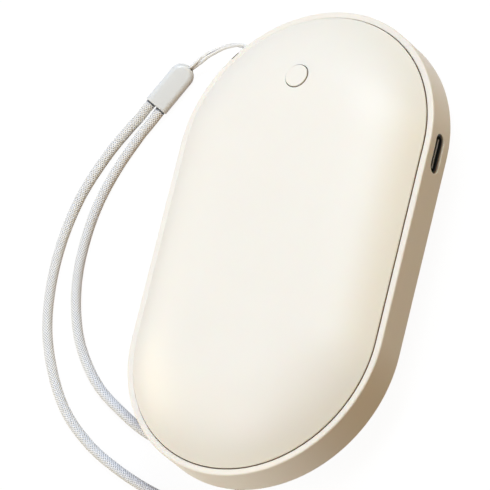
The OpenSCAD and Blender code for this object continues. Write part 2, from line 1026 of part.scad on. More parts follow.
module strap_connector() {
    color(strap_white)
        difference() {
            translate([connector_at[0], connector_at[1], connector_lift])
                rotate([connector_roll, 0, connector_turn])
                    connector_bar();
            translate([connector_at[0] + connector_tip * cos(connector_turn),
                    connector_at[1] + connector_tip * sin(connector_turn), connector_lift])
                rotate([0, 90, string_turn])
                    translate([0, 0, string_bore_start])
                        cylinder(d = string_bore_d, h = connector_w / 2 + overrun);
        }
}

module wrist_cord() {
    color(strap_white)
        tube(wrist_route, cord_d, wrist_rings, cord_sides);
}

echo(wrist_cord_length = length_of(ring_centres(wrist_route, 10 * len(wrist_route))));
echo(string_length = length_of(ring_centres(string_route, 10 * len(string_route))));

front_cover();
back_cover();
mid_frame();
front_seal();
back_seal();
button_cap();
switch_plunger();
switch_body();
circuit_board();
socket_shell();
socket_tongue();
socket_contacts();
charge_chip();
power_inductor();
board_capacitors();
status_leds();
board_screws();
battery_tray();
tray_screws();
battery_cell();
battery_tape();
cell_board();
battery_socket();
battery_plug();
battery_leads();
front_plate();
front_heater();
front_foam();
front_thermistor();
front_heater_leads();
front_heater_socket();
back_plate();
back_heater();
back_foam();
back_thermistor();
back_heater_leads();
lanyard_pin();
lanyard_string();
strap_connector();
wrist_cord();
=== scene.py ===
"""A rechargeable hand warmer with its wrist strap, lying on a pale floor."""
import json
import math

import bmesh
import bpy
from mathutils import Matrix, Vector


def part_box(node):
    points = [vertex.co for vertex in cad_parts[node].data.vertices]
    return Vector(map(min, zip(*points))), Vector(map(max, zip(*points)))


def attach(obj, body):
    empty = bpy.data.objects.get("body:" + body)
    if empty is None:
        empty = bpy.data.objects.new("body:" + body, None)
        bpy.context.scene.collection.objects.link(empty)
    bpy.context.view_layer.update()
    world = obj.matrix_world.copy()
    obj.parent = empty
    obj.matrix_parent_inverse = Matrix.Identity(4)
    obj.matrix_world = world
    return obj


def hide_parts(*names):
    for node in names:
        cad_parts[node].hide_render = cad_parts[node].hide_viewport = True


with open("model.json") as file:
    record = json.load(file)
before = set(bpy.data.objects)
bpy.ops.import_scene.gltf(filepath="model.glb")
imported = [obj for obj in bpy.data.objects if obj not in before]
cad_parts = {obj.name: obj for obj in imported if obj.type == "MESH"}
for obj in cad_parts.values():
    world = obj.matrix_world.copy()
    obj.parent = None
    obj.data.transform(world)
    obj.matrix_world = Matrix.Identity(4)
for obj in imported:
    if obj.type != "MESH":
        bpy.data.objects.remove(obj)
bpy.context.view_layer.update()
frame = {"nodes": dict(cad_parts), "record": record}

scene = bpy.context.scene
scene.view_settings.view_transform = "Standard"

# Sizes are in millimetres, and MM turns them into the scene's metres
MM = 0.001


def mm_box(node):
    """A node's lowest and highest corners, in millimetres."""
    low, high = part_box(node)
    return low / MM, high / MM


# Sizes taken from the frame
frame_low, frame_high = mm_box("mid_frame")
cover_high = mm_box("front_cover")[1]
button_low, button_high = mm_box("button_cap")
pin_low, pin_high = mm_box("lanyard_pin")
socket_low, socket_high = mm_box("socket_shell")
BODY_R = frame_high.x
STRAIGHT = frame_high.y - BODY_R
MID_Z = (frame_low.z + frame_high.z) / 2
BODY_T = cover_high.z
COVER_R = cover_high.x
BUTTON_Y = (button_low.y + button_high.y) / 2
FLANGE_R = (button_high.x - button_low.x) / 2
PIN_AT = (pin_low + pin_high) / 2
PORT_Y = (socket_low.y + socket_high.y) / 2

# Sizes that the frame's boxes don't give
FLAT_R = 10.5
RIM_W = 1.5
COVER_WALL = 1.6
COVER_STEP = 0.35
LEDGE_D = 4
LEDGE_H = 5
SEAL_T = 0.3
BUTTON_D = 5.2
BUTTON_GAP = 0.2
BUTTON_PROUD = 0.25
GUIDE_WALL = 1.2
FLANGE_H = 0.8
FLANGE_GAP = 0.1
STEM_D = 3
PORT_W = 9.1
PORT_H = 3.3
PORT_DEPTH = 2.2
PORT_ROOM_W = 9.74
PORT_ROOM_H = 3.76
POCKET_W = 5
POCKET_H = 3
POCKET_BACK = 1.1
POCKET_CORNER = 0.4
NOTCH_W = 2
NOTCH_D = 0.42
NOTCH_LIP = 0.12
NOTCH_TURN = math.radians(2.3)
LOOSE_GAP = 0.3
SLIDE_GAP = 0.1
STRING_D = 0.7
CORD_D = 2.3

# Small rounds on the moulded edges
FRAME_OUTER_ROUND = 0.4
FRAME_LOWER_ROUND = 0.2
FRAME_INNER_ROUND = 0.22
COVER_ROUND = 0.22
HOLE_ROUND = 0.1
BUTTON_ROUND = 0.1
PORT_ROUND = 0.08
POCKET_ROUND = 0.25
ROUND_STEPS = 5

# Radii from the middle line and heights that follow from these
SEAM_R = BODY_R - RIM_W
LEDGE_R = SEAM_R - LEDGE_D
SKIRT_R = COVER_R - COVER_WALL
LEDGE_LOW = MID_Z - LEDGE_H / 2
LEDGE_TOP = MID_Z + LEDGE_H / 2
SKIRT_Z = LEDGE_TOP + SEAL_T
DOME_Z = frame_high.z + COVER_STEP
DOME_RUN = COVER_R - FLAT_R
DOME_RISE = BODY_T - DOME_Z
SHOULDER_R = (DOME_RUN ** 2 + DOME_RISE ** 2) / (2 * DOME_RISE)

# The row of places along each side for the covers' hooks and the tray's lugs, from the low end
CLIP_PLACES = 6
CLIP_GAP = 1.5
CLIP_END_GAP = 1.4
CLIP_PORT_GAP = 1.8
CLIP_LOW = CLIP_END_GAP - STRAIGHT
CLIP_HIGH = PORT_Y - PORT_ROOM_W / 2 - CLIP_PORT_GAP
CLIP_L = (CLIP_HIGH - CLIP_LOW - (CLIP_PLACES - 1) * CLIP_GAP) / CLIP_PLACES
LUG_PLACES = (0, 5)
BACK_HOOK_PLACES = (1, 3)
FRONT_HOOK_PLACES = (2, 4)
LUG_H = 2
LUG_REACH = 1.9
LUG_END = LEDGE_R + LUG_REACH
HOOK_T = 1
HOOK_LIP = 0.5
HOOK_LIP_H = 0.7
HOOK_ROOT = 0.4


# The camera, where the photograph's outline and port put it
CAMERA_AT = (905.645, -589.092, 1348.212)
CAMERA_RIGHT = (0.84672459, 0.22690369, -0.48121947)
CAMERA_UP = (-0.01109208, 0.91182655, 0.41042577)
LENS = 587.8
SENSOR = 36
NEAREST_SEEN = 100
FARTHEST_SEEN = 10000


def make_camera():
    data = bpy.data.cameras.new("camera")
    data.lens = LENS
    data.sensor_width = SENSOR
    data.clip_start = NEAREST_SEEN * MM
    data.clip_end = FARTHEST_SEEN * MM
    camera = bpy.data.objects.new("camera", data)
    scene.collection.objects.link(camera)
    right, up = Vector(CAMERA_RIGHT), Vector(CAMERA_UP)
    turn = Matrix((right, up, right.cross(up))).transposed()
    camera.matrix_world = Matrix.Translation(Vector(CAMERA_AT) * MM) @ turn.to_4x4()
    scene.camera = camera


make_camera()


# Materials. Texture coordinates are the object's own, in millimetres
def new_material(name, color, roughness, metallic=0.0, **sockets):
    mat = bpy.data.materials.new(name)
    mat.use_nodes = True
    shader = mat.node_tree.nodes["Principled BSDF"]
    shader.inputs["Base Color"].default_value = (*color, 1)
    shader.inputs["Roughness"].default_value = roughness
    shader.inputs["Metallic"].default_value = metallic
    for socket, value in sockets.items():
        shader.inputs[socket.replace("_", " ")].default_value = value
    return mat


def add_node(owner, kind, inputs=None, **settings):
    """A node of a material or the world, with some of its settings and inputs. An input may be a value
    or another node's output."""
    node = owner.node_tree.nodes.new(kind)
    for key, value in settings.items():
        setattr(node, key, value)
    for key, value in (inputs or {}).items():
        if isinstance(value, bpy.types.NodeSocket):
            owner.node_tree.links.new(value, node.inputs[key])
        else:
            node.inputs[key].default_value = value
    return node


def to_shader(mat, output, socket):
    shader = mat.node_tree.nodes["Principled BSDF"]
    mat.node_tree.links.new(output, shader.inputs[socket])


def millimetres(mat, stretch=(1, 1, 1)):
    """The object's coordinates in millimetres, each divided by a stretch."""
    place = add_node(mat, "ShaderNodeTexCoord")
    mapping = add_node(mat, "ShaderNodeMapping", {"Vector": place.outputs["Object"]})
    mapping.inputs["Scale"].default_value = [1 / (MM * s) for s in stretch]
    return mapping.outputs["Vector"]


def noise(mat, size, detail=2.0, stretch=(1, 1, 1)):
    """Noise whose grains are about size millimetres across."""
    node = add_node(mat, "ShaderNodeTexNoise", {"Vector": millimetres(mat, stretch), "Scale": 1 / size,
                                                "Detail": detail})
    return node.outputs["Fac"]


def uneven_gloss(mat, factor, roughness, spread):
    """Roughness that goes, with a factor, from the lower end of its spread to the upper."""
    low, high = [roughness + change for change in spread]
    node = add_node(mat, "ShaderNodeMapRange", {"Value": factor, "To Min": low, "To Max": high})
    to_shader(mat, node.outputs["Result"], "Roughness")


def ramp(mat, value, low, high):
    """A factor that goes from 0 to 1 while a value goes from low to high."""
    node = add_node(mat, "ShaderNodeMapRange", {"Value": value, "From Min": low, "From Max": high})
    return node.outputs["Result"]


# The sockets of the mixing node that hold colours
MIX_INPUTS = (6, 7)
MIX_OUTPUT = 2


def blend_colors(mat, factor, first, second):
    """The first colour where the factor is 0, the second where it is 1."""
    inputs = {"Factor": factor}
    for index, color in zip(MIX_INPUTS, (first, second)):
        inputs[index] = color if isinstance(color, bpy.types.NodeSocket) else (*color, 1)
    return add_node(mat, "ShaderNodeMix", inputs, data_type="RGBA").outputs[MIX_OUTPUT]


def blend_shaders(owner, factor, first, second):
    """The first shader where the factor is 0, the second where it is 1."""
    inputs = {"Fac": factor, 1: first.outputs[0], 2: second.outputs[0]}
    return add_node(owner, "ShaderNodeMixShader", inputs)


def bump(mat, height, depth):
    """Bumps up to depth millimetres."""
    node = add_node(mat, "ShaderNodeBump", {"Height": height, "Distance": depth * MM, "Strength": 1.0})
    return node.outputs["Normal"]


def shade_of(color, share):
    return tuple(c * share for c in color)


# Each recipe darkens its colour by a share called shade, varies its roughness by a spread, and has bumps
# of a depth. Grains, pitches and depths are in millimetres
def moulded(name, color, roughness=0.4, grain=0.25, depth=0.004, drift=14, shade=0.97,
            spread=(-0.05, 0.05), painted_shade_or_plate_color=None, **sockets):
    """Moulded plastic: a slow drift of colour, a fine grain and slightly uneven gloss. With a second
    colour, the attribute in_gap, 1 where it is marked, mixes it in: painted shade on the walls of gaps and
    openings, and the steel plate's own grey across the tongue's front."""
    mat = new_material(name, color, roughness, **sockets)
    tint = blend_colors(mat, noise(mat, drift), shade_of(color, shade), color)
    if painted_shade_or_plate_color:
        in_gap = add_node(mat, "ShaderNodeAttribute", attribute_name="in_gap").outputs["Fac"]
        tint = blend_colors(mat, in_gap, tint, painted_shade_or_plate_color)
    to_shader(mat, tint, "Base Color")
    fine = noise(mat, grain, detail=4)
    uneven_gloss(mat, fine, roughness, spread)
    to_shader(mat, bump(mat, fine, depth), "Normal")
    return mat


def rolled_metal(name, color, roughness=0.3, stretch=(12, 1, 1), grain=0.12, depth=0.003, shade=0.86,
                 spread=(-0.1, 0.12)):
    """Metal with fine lines along one axis."""
    mat = new_material(name, color, roughness, metallic=1.0)
    lines = noise(mat, grain, detail=3, stretch=stretch)
    uneven_gloss(mat, lines, roughness, spread)
    to_shader(mat, blend_colors(mat, lines, shade_of(color, shade), color), "Base Color")
    to_shader(mat, bump(mat, lines, depth), "Normal")
    return mat


def soft_rubber(name, color, roughness=0.7, grain=0.15, depth=0.01, shade=0.8):
    mat = new_material(name, color, roughness)
    fine = noise(mat, grain, detail=3)
    to_shader(mat, blend_colors(mat, fine, shade_of(color, shade), color), "Base Color")
    to_shader(mat, bump(mat, fine, depth), "Normal")
    return mat


def cells(name, color, size, roughness=0.85, depth=0.12, shade=0.5):
    """Foam with closed cells."""
    mat = new_material(name, color, roughness)
    voronoi = add_node(mat, "ShaderNodeTexVoronoi", {"Vector": millimetres(mat), "Scale": 1 / size})
    pores = voronoi.outputs["Distance"]
    to_shader(mat, blend_colors(mat, pores, shade_of(color, shade), color), "Base Color")
    to_shader(mat, bump(mat, pores, depth), "Normal")
    return mat


def circuit(name, color, copper, roughness=0.35, pitch=1.1, trace=0.12, depth=0.03):
    """Solder mask with traces that show faintly through it."""
    mat = new_material(name, color, roughness)
    traces = add_node(mat, "ShaderNodeTexBrick", {"Vector": millimetres(mat), "Scale": 1 / pitch,
                                                  "Mortar Size": trace, "Color1": (0, 0, 0, 1),
                                                  "Color2": (0, 0, 0, 1), "Mortar": (1, 1, 1, 1)})
    to_shader(mat, blend_colors(mat, traces.outputs["Color"], color, copper), "Base Color")
    to_shader(mat, bump(mat, traces.outputs["Color"], depth), "Normal")
    return mat


# The wave texture's bands are this far apart where its scale is 1
WAVE_PITCH = math.pi / 10


def heater_film(name, color, copper, roughness=0.25, pitch=1.6, depth=0.02, edge=(0.45, 0.55)):
    """Amber film with the heater's long tracks inside. edge is the span of the wave's height over which
    a track ends."""
    mat = new_material(name, color, roughness)
    wave = add_node(mat, "ShaderNodeTexWave", {"Vector": millimetres(mat), "Scale": WAVE_PITCH / pitch},
                    bands_direction="X")
    tracks = ramp(mat, wave.outputs["Fac"], *edge)
    to_shader(mat, blend_colors(mat, tracks, color, copper), "Base Color")
    to_shader(mat, bump(mat, tracks, depth), "Normal")
    return mat


def foil(name, color, roughness=0.3, crease=5, depth=0.4, spread=(-0.08, 0.12)):
    """The cell's crinkled foil pouch."""
    mat = new_material(name, color, roughness, metallic=1.0)
    creases = noise(mat, crease, detail=5)
    to_shader(mat, bump(mat, creases, depth), "Normal")
    uneven_gloss(mat, creases, roughness, spread)
    return mat


def braid_yarn(name, color, painted_shade_or_plate_color, roughness, grain=0.09, depth=0.02, shade=0.88, groove=(0.1, 0.55)):
    """Woven yarn. The attribute made with the mesh is 1 on top of a strand and 0 between strands. groove
    is the span of it over which the second colour, painted shade between strands, gives way to the yarn's."""
    mat = new_material(name, color, roughness, Sheen_Weight=0.1)
    height = add_node(mat, "ShaderNodeAttribute", attribute_name="strand_height").outputs["Fac"]
    fibres = noise(mat, grain, detail=3)
    tint = blend_colors(mat, fibres, shade_of(color, shade), color)
    to_shader(mat, blend_colors(mat, ramp(mat, height, *groove), painted_shade_or_plate_color, tint), "Base Color")
    to_shader(mat, bump(mat, fibres, depth), "Normal")
    return mat


CREAM = (0.905, 0.885, 0.845)
RIM_CREAM = (0.89, 0.85, 0.79)
# Painted shade on the walls of the seams' and button's gaps, in the port's opening and in the threading
# notch
PAINTED_GAP_SHADE = (0.19, 0.1, 0.05)
PLATE_GREY = (0.5, 0.5, 0.48)
# Painted shade inside the connector's mouth
PAINTED_MOUTH_SHADE = (0.06, 0.06, 0.06)
SATIN = {"Subsurface_Weight": 0.08, "Subsurface_Scale": 0.001, "Specular_IOR_Level": 0.4}
STEEL = (0.62, 0.62, 0.63)
COPPER = (0.72, 0.38, 0.2)

made = {
    "shell": moulded("cream_shell", CREAM, 0.4, painted_shade_or_plate_color=PAINTED_GAP_SHADE, **SATIN),
    "rim": moulded("cream_rim", RIM_CREAM, 0.4, painted_shade_or_plate_color=PAINTED_GAP_SHADE, **SATIN),
    "button": moulded("cream_button", CREAM, 0.4, painted_shade_or_plate_color=PAINTED_GAP_SHADE, **SATIN),
    "seal": soft_rubber("seal_rubber", (0.05, 0.036, 0.025)),
    "steel": rolled_metal("plain_steel", STEEL),
    "black_plastic": moulded("black_nylon", (0.012, 0.012, 0.013), 0.45, grain=0.15),
    "dark_steel": rolled_metal("dark_steel", (0.1, 0.1, 0.1), 0.35),
    "tongue_plastic": moulded("tongue_black", (0.02, 0.02, 0.02), 0.45, grain=0.15, painted_shade_or_plate_color=PLATE_GREY),
    "contacts": rolled_metal("gold_contacts", (0.83, 0.63, 0.28), 0.2),
    "board": circuit("board_green", (0.012, 0.09, 0.045), (0.06, 0.2, 0.08)),
    "component": moulded("chip_black", (0.03, 0.03, 0.033), 0.55, grain=0.12, depth=0.01),
    "capacitor": moulded("ceramic_tan", (0.42, 0.29, 0.17), 0.5, grain=0.2, depth=0.01),
    "led": moulded("lamp_resin", (0.9, 0.88, 0.7), 0.15, grain=0.4),
    "tray": moulded("tray_plastic", (0.05, 0.05, 0.055), 0.5, grain=0.4, depth=0.01),
    "cell": foil("cell_foil", (0.62, 0.63, 0.65)),
    "tape": moulded("white_tape", (0.82, 0.82, 0.78), 0.6, grain=0.5, depth=0.02),
    "ivory_plastic": moulded("ivory_nylon", (0.78, 0.73, 0.58), 0.45),
    "leads": soft_rubber("red_silicone", (0.5, 0.02, 0.02), 0.5),
    "white_leads": soft_rubber("white_silicone", (0.78, 0.78, 0.76), 0.5),
    "plate": rolled_metal("rolled_sheet", (0.76, 0.77, 0.78), 0.28, stretch=(1, 12, 1)),
    "film": heater_film("amber_film", (0.5, 0.2, 0.03), COPPER),
    "foam": cells("grey_foam", (0.12, 0.125, 0.13), 0.6),
    "connector": moulded("white_connector", (0.76, 0.79, 0.83), 0.3, grain=0.3, painted_shade_or_plate_color=PAINTED_MOUTH_SHADE),
    # The string's and the cord's second colours are painted shade between their strands
    "string": braid_yarn("white_string", (0.94, 0.96, 0.98), (0.82, 0.84, 0.87), 0.3),
    "cord": braid_yarn("white_braid", (0.94, 0.95, 0.98), (0.14, 0.16, 0.19), 0.6),
}

slot_of = {part["node"]: part["material_slot"] for part in frame["record"]["subparts"]}
for node_name, node_object in frame["nodes"].items():
    node_object.data.materials.clear()
    node_object.data.materials.append(made[slot_of[node_name]])


# Making pieces out of points
def piece(name, mesh, body, nodes, slot):
    """A piece that stands for CAD nodes, moves with a body and has a slot's material."""
    obj = bpy.data.objects.new(name, mesh)
    scene.collection.objects.link(obj)
    mesh.materials.append(made[slot])
    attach(obj, body)
    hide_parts(*nodes)
    return obj


# Points nearer to each other than this are one
SAME_POINT = 1e-5


def new_row(bm, points):
    return [bm.verts.new(Vector(p) * MM) for p in points]


def bridge(bm, row, following, closed=True):
    """Faces between two rows of points; where closed, also from the rows' last points to their first."""
    for i in range(len(row) - (0 if closed else 1)):
        k = (i + 1) % len(row)
        bm.faces.new((row[i], row[k], following[k], following[i]))


def mesh_from(bm, name):
    """A mesh of what bm holds, with bm freed."""
    mesh = bpy.data.meshes.new(name)
    bm.to_mesh(mesh)
    bm.free()
    return mesh


def mark(mesh, domain, values, name="in_gap"):
    """Gives each point or face a value that its material reads."""
    mesh.attributes.new(name, "FLOAT", domain).data.foreach_set("value", values)


def loft(name, rows, closed):
    """A mesh between rows of points, in millimetres, and from the last row to the first. closed joins
    each row's last point to its first too; otherwise a row's ends are points that the rows share."""
    bm = bmesh.new()
    verts = [new_row(bm, row) for row in rows]
    for row, following in zip(verts, verts[1:] + verts[:1]):
        bridge(bm, row, following, closed)
    bmesh.ops.remove_doubles(bm, verts=bm.verts, dist=SAME_POINT * MM)
    bmesh.ops.recalc_face_normals(bm, faces=bm.faces)
    return mesh_from(bm, name)


def capped(rows, name="cutter"):
    """Closed rings of points, joined one to the next, with a face over each end."""
    bm = bmesh.new()
    rings = [new_row(bm, row) for row in rows]
    for row, following in zip(rings, rings[1:]):
        bridge(bm, row, following)
    bm.faces.new(reversed(rings[0]))
    bm.faces.new(rings[-1])
    bmesh.ops.recalc_face_normals(bm, faces=bm.faces)
    return mesh_from(bm, name)


def smooth(mesh, sharp_angle=38):
    mesh.shade_smooth()
    mesh.set_sharp_from_angle(angle=math.radians(sharp_angle))


def arc(center_s, center_z, radius, start, end, steps=ROUND_STEPS):
    """Points along an arc in a section; angles in degrees from +s towards +z."""
    angles = [math.radians(start + (end - start) * i / steps) for i in range(steps + 1)]
    return [(center_s + radius * math.cos(a), center_z + radius * math.sin(a)) for a in angles]


# Steps round each end of the body and along each of its sides
END_STEPS = 96
SIDE_STEPS = 16


def outline():
    """Round the body: pairs of a foot on the middle line and the outward direction there."""
    places = []
    for end in (1, -1):
        for i in range(END_STEPS):
            turn = math.pi * i / END_STEPS + (0 if end > 0 else math.pi)
            places.append((Vector((0, end * STRAIGHT, 0)), Vector((math.cos(turn), math.sin(turn), 0))))
        for i in range(SIDE_STEPS):
            places.append((Vector((0, end * STRAIGHT * (1 - 2 * i / SIDE_STEPS), 0)), Vector((-end, 0, 0))))
    return places


OUTLINE = outline()


def swept(name, section):
    """A closed section of distance and height, taken round the body."""
    rows = [[foot + out * s + Vector((0, 0, z)) for s, z in section] for foot, out in OUTLINE]
    return loft(name, rows, closed=True)


def off_middle(x, y):
    """Distance from the body's middle line."""
    return math.hypot(x, max(abs(y) - STRAIGHT, 0))


def dome(s, thinner=0.0):
    """Height of the front cover's surface at a distance from the middle line, or of a surface
    that lies thinner below it."""
    radius = SHOULDER_R - thinner
    run = min(max(s - FLAT_R, 0), radius)
    return BODY_T - SHOULDER_R + math.sqrt(radius ** 2 - run ** 2)


def edge_round():
    """The cover's outer edge in section: from the dome, round the edge and down to the skirt."""
    center_s = COVER_R - COVER_ROUND
    reach = SHOULDER_R - COVER_ROUND
    center_z = BODY_T - SHOULDER_R + math.sqrt(reach ** 2 - (center_s - FLAT_R) ** 2)
    start = math.degrees(math.atan2(center_z - (BODY_T - SHOULDER_R), center_s - FLAT_R))
    return arc(center_s, center_z, COVER_ROUND, start, 0)


def on_dome(p, lift=0.0, thinner=0.0):
    """The place on the dome over or under a point, raised by lift."""
    return p.x, p.y, dome(off_middle(p.x, p.y), thinner) + lift


# How many rings of points the dome has outside and inside, and how much closer they lie near the edge
DOME_STEPS = 56
INSIDE_STEPS = 14
CROWDING = 1.5
# How deep the walls of a gap turn dark with painted shade, and the rings of points just above and below
# that
GAP_FROM = 0.3
GAP_RINGS = (0.27, 0.33)


def toward_edge(steps):
    """Shares of the way from the middle to the edge, closer together near the edge."""
    return [1 - (1 - i / steps) ** CROWDING for i in range(steps + 1)]


def cover_rows(middle, hole_r):
    """One row of points for each place round the outline, on a line from the middle: over the dome,
    round the edge, down the skirt and back inside. A hole_r of 0 leaves no hole."""
    edge = edge_round()
    guide_r = hole_r + GUIDE_WALL
    rows = []
    for foot, out in OUTLINE:
        rim = foot + out * edge[0][0]
        along = (rim - middle).normalized()
        row = []
        if hole_r:
            for grow, drop in hole_lip():
                row.append(on_dome(middle + along * (hole_r + grow), -drop))
        start = middle + along * (hole_r + HOLE_ROUND if hole_r else 0)
        for share in toward_edge(DOME_STEPS)[:-1]:
            row.append(on_dome(start.lerp(rim, share)))
        wall = [(COVER_R, DOME_Z - drop) for drop in GAP_RINGS]
        for s, z in edge + wall + [(COVER_R, SKIRT_Z), (SKIRT_R, SKIRT_Z)]:
            p = foot + out * s
            row.append((p.x, p.y, z))
        inner_rim = foot + out * SKIRT_R
        inner_start = middle + along * (guide_r if hole_r else 0)
        for share in reversed(toward_edge(INSIDE_STEPS)):
            row.append(on_dome(inner_start.lerp(inner_rim, share), thinner=COVER_WALL))
        if hole_r:
            for r in (guide_r, hole_r):
                p = middle + along * r
                row.append((p.x, p.y, GUIDE_Z))
        rows.append(row)
    return rows


def hole_lip():
    """The rounded top edge of the button's hole: how far out and how far below the dome."""
    lip = arc(HOLE_ROUND, HOLE_ROUND, HOLE_ROUND, 180, 90)
    rings = [(0, drop) for drop in reversed(GAP_RINGS)]
    return rings + [(grow, 2 * HOLE_ROUND - height) for grow, height in lip[:-1]]


# How near a point must be to a wall's distance to lie on it
ON_WALL = 0.01


def paint_gap_shade(mesh, is_wall, lift=0.0):
    """Marks the points that get painted shade in a gap: on one of its walls and well below the surface
    beside it.
    """
    values = []
    for vert in mesh.vertices:
        x, y, z = vert.co / MM
        deep = dome(off_middle(x, y)) + lift - z > GAP_FROM
        values.append(1.0 if deep and is_wall(x, y) else 0.0)
    mark(mesh, "POINT", values)


def lies_on(distance, wall):
    return abs(distance - wall) < ON_WALL


def from_button(x, y):
    return math.hypot(x, y - BUTTON_Y)


def is_cover_wall(x, y):
    return lies_on(off_middle(x, y), COVER_R) or lies_on(from_button(x, y), HOLE_R)


def is_button_wall(x, y):
    return lies_on(from_button(x, y), BUTTON_D / 2)


def add_block(bm, low, high):
    """A closed block between two corners."""
    center, size = (low + high) / 2 * MM, [abs(h - l) * MM for l, h in zip(low, high)]
    bmesh.ops.create_cube(bm, size=1, matrix=Matrix.Translation(center) @ Matrix.Diagonal((*size, 1)))


def clip_y(place):
    return CLIP_LOW + CLIP_L / 2 + place * (CLIP_L + CLIP_GAP)


def add_hooks(mesh, places):
    """The hooks that hold the front cover to the ledge, on its inside."""
    inner, outer = LEDGE_R - LOOSE_GAP - HOOK_T, LEDGE_R - LOOSE_GAP
    low_z = LEDGE_LOW - SLIDE_GAP - HOOK_LIP_H
    top_z = dome(inner, COVER_WALL) + HOOK_ROOT
    bm = bmesh.new()
    bm.from_mesh(mesh)
    for side in (-1, 1):
        for y in [clip_y(place) for place in places]:
            for reach, top in ((outer, top_z), (LEDGE_R + HOOK_LIP, low_z + HOOK_LIP_H)):
                add_block(bm, Vector((side * inner, y - CLIP_L / 2, low_z)),
                          Vector((side * reach, y + CLIP_L / 2, top)))
    bm.to_mesh(mesh)
    bm.free()


def turn_over(mesh):
    """The front's shape made into the back's."""
    mesh.transform(Matrix.Translation((0, 0, BODY_T * MM)) @ Matrix.Diagonal((1, 1, -1, 1)))
    mesh.flip_normals()


BUTTON_AT = Vector((0, BUTTON_Y, 0))
HOLE_R = BUTTON_D / 2 + BUTTON_GAP
GUIDE_Z = dome(off_middle(0, BUTTON_Y + HOLE_R + GUIDE_WALL), COVER_WALL) - LOOSE_GAP

front_mesh = loft("front_cover_shell", cover_rows(BUTTON_AT, HOLE_R), closed=True)
paint_gap_shade(front_mesh, is_cover_wall)
add_hooks(front_mesh, FRONT_HOOK_PLACES)
smooth(front_mesh)
piece("front_cover_shell", front_mesh, "case", ["front_cover"], "shell")

back_mesh = loft("back_cover_shell", cover_rows(Vector((0, 0, 0)), 0), closed=False)
paint_gap_shade(back_mesh, is_cover_wall)
add_hooks(back_mesh, BACK_HOOK_PLACES)
turn_over(back_mesh)
smooth(back_mesh)
piece("back_cover_shell", back_mesh, "case", ["back_cover"], "shell")


# The button, whose top follows the cover
BUTTON_STEPS = 72
BUTTON_RINGS = 10


def button_rows():
    """Points from the middle of the top, over the edge, round the flange and down to the stem's end."""
    radius = BUTTON_D / 2
    flat = radius - BUTTON_ROUND
    over = [(flat * i / BUTTON_RINGS, 0) for i in range(BUTTON_RINGS)]
    over += [(flat + s, z - BUTTON_ROUND) for s, z in arc(0, 0, BUTTON_ROUND, 90, 0)]
    over += [(radius, -drop) for drop in GAP_RINGS]
    flange_top = GUIDE_Z - FLANGE_GAP
    below = [(radius, flange_top), (FLANGE_R, flange_top), (FLANGE_R, flange_top - FLANGE_H),
             (STEM_D / 2, flange_top - FLANGE_H), (STEM_D / 2, button_low.z), (0, button_low.z)]
    rows = []
    for i in range(BUTTON_STEPS):
        turn = math.tau * i / BUTTON_STEPS
        out = Vector((math.cos(turn), math.sin(turn), 0))
        row = []
        for r, lift in over:
            row.append(on_dome(BUTTON_AT + out * r, BUTTON_PROUD + lift))
        for r, z in below:
            p = BUTTON_AT + out * r
            row.append((p.x, p.y, z))
        rows.append(row)
    return rows


button_mesh = loft("button_top", button_rows(), closed=False)
paint_gap_shade(button_mesh, is_button_wall, BUTTON_PROUD)
smooth(button_mesh)
piece("button_top", button_mesh, "button", ["button_cap"], "button")


# The frame, with its openings cut through the wall
def frame_section():
    low, high = frame_low.z, frame_high.z
    o, i, u = FRAME_OUTER_ROUND, FRAME_INNER_ROUND, FRAME_LOWER_ROUND
    return ([(LEDGE_R, LEDGE_LOW), (SEAM_R, LEDGE_LOW)]
            + arc(SEAM_R + i, low + i, i, 180, 270)
            + arc(BODY_R - u, low + u, u, -90, 0)
            + arc(BODY_R - o, high - o, o, 0, 90)
            + arc(SEAM_R + i, high - i, i, 90, 180)
            + [(SEAM_R, LEDGE_TOP), (LEDGE_R, LEDGE_TOP)])


def on_wall(along, z, depth):
    """A point on the wall's face or a depth inside it. along is counted round the outline from the
    middle of the +X side."""
    turn = max(along - STRAIGHT, 0) / BODY_R
    out = Vector((math.cos(turn), math.sin(turn), 0))
    return Vector((0, min(along, STRAIGHT), z)) + out * (BODY_R - depth)


def rounded_rectangle(half_w, half_h, corner, steps=8):
    """Points round a rectangle with round corners."""
    points = []
    for turn, x, y in ((0, 1, 1), (90, -1, 1), (180, -1, -1), (270, 1, -1)):
        points += arc(x * (half_w - corner), y * (half_h - corner), corner, turn, turn + 90, steps)
    return points


# Where an opening's walls get rings of points, further in than its lip
CUT_STEPS = (0.18, 0.4, 0.8)


def wall_cutter(along, half_w, half_h, corner, lip, depth, out=0.6):
    """A closed body that cuts an opening with a rounded lip into the wall."""
    levels = [(-out, lip)]
    levels += [(lip + z, lip + s) for s, z in arc(0, 0, lip, 270, 180)]
    levels += [(lip + step, 0) for step in CUT_STEPS if lip + step < depth]
    levels.append((depth, 0))
    rows = []
    for level, grow in levels:
        ring = rounded_rectangle(half_w + grow, half_h + grow, corner + grow)
        rows.append([on_wall(along + a, MID_Z + b, level) for a, b in ring])
    return capped(rows)


def block_cutter(low, high, turn=None):
    bm = bmesh.new()
    add_block(bm, Vector(low), Vector(high))
    mesh = mesh_from(bm, "cutter")
    if turn:
        mesh.transform(turn)
    return mesh


def cut(mesh, cutters):
    """The mesh with each cutter's body taken away."""
    target = bpy.data.objects.new("cut", mesh)
    scene.collection.objects.link(target)
    tools = []
    for cutter in cutters:
        tool = bpy.data.objects.new("cutter", cutter)
        scene.collection.objects.link(tool)
        tools.append(tool)
        change = target.modifiers.new("cut", "BOOLEAN")
        change.operation = "DIFFERENCE"
        change.solver = "EXACT"
        change.object = tool
    bpy.context.view_layer.update()
    evaluated = target.evaluated_get(bpy.context.evaluated_depsgraph_get())
    result = bpy.data.meshes.new_from_object(evaluated)
    for obj in (target, *tools):
        bpy.data.objects.remove(obj)
    result.name = mesh.name
    return result


